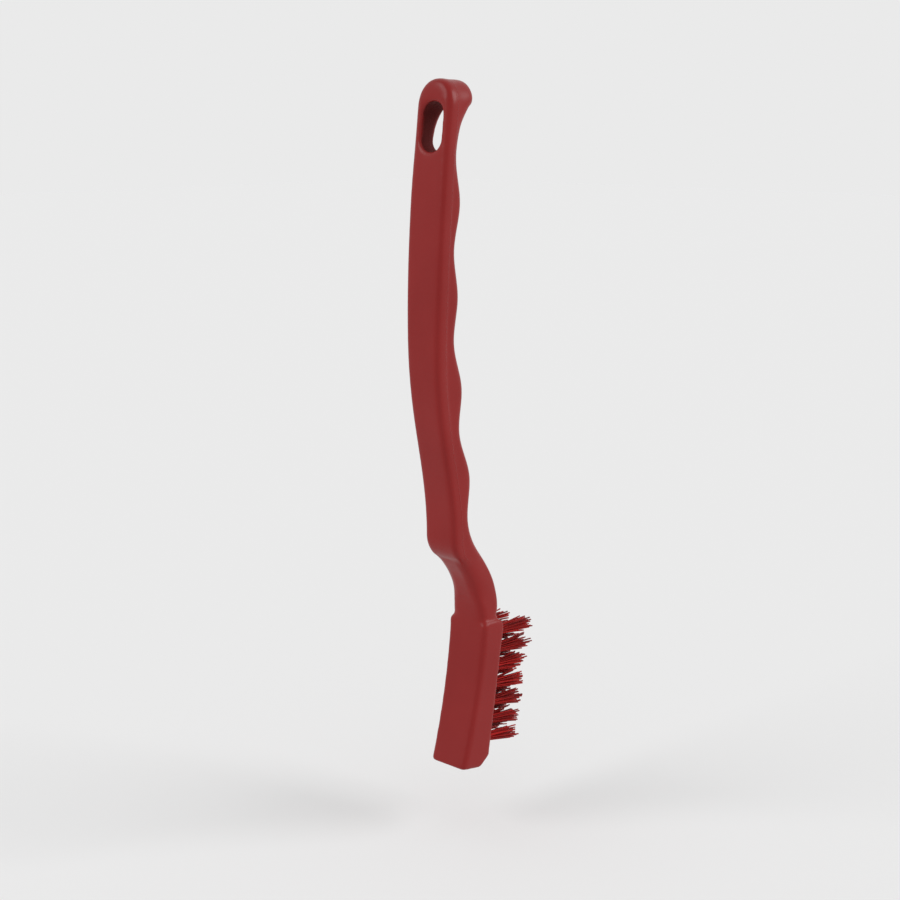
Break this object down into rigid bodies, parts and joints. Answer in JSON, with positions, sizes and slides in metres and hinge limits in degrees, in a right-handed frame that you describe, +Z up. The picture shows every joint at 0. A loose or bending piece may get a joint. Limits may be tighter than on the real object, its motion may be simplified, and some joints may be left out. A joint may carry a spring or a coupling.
{
  "type": "crevice brush",
  "caption": "Narrow hand brush for crevices: bowed grip with finger waves and a hang slot, offset neck, and a slim head with stiff tufts on one face.",
  "frame": {"origin": "centre of the hang slot, on the parting face 4 mm in from the back of the grip", "axes": "+Z up along the brush from head to hang end, +X the way the bristles point, +Y to the left of someone who looks along +X; the brush is mirror symmetric about Y = 0"},
  "size_m": [0.0481, 0.017, 0.2312],
  "materials": {
    "handle_plastic": "satin moulded polypropylene, dark red",
    "bristle": "stiff polyester filament, dark red, satin",
    "anchor_metal": "flat stamped strip, satin"
  },
  "bodies": {
    "root": {"handle": "handle_plastic", "tuft_left_1": "bristle", "tuft_left_2": "bristle", "tuft_left_3": "bristle", "tuft_left_4": "bristle", "tuft_left_5": "bristle", "tuft_left_6": "bristle", "tuft_left_7": "bristle", "tuft_middle_1": "bristle", "tuft_middle_2": "bristle", "tuft_middle_3": "bristle", "tuft_middle_4": "bristle", "tuft_middle_5": "bristle", "tuft_middle_6": "bristle", "tuft_right_1": "bristle", "tuft_right_2": "bristle", "tuft_right_3": "bristle", "tuft_right_4": "bristle", "tuft_right_5": "bristle", "tuft_right_6": "bristle", "tuft_right_7": "bristle", "tuft_anchors": "anchor_metal"}
  },
  "joints": []
}
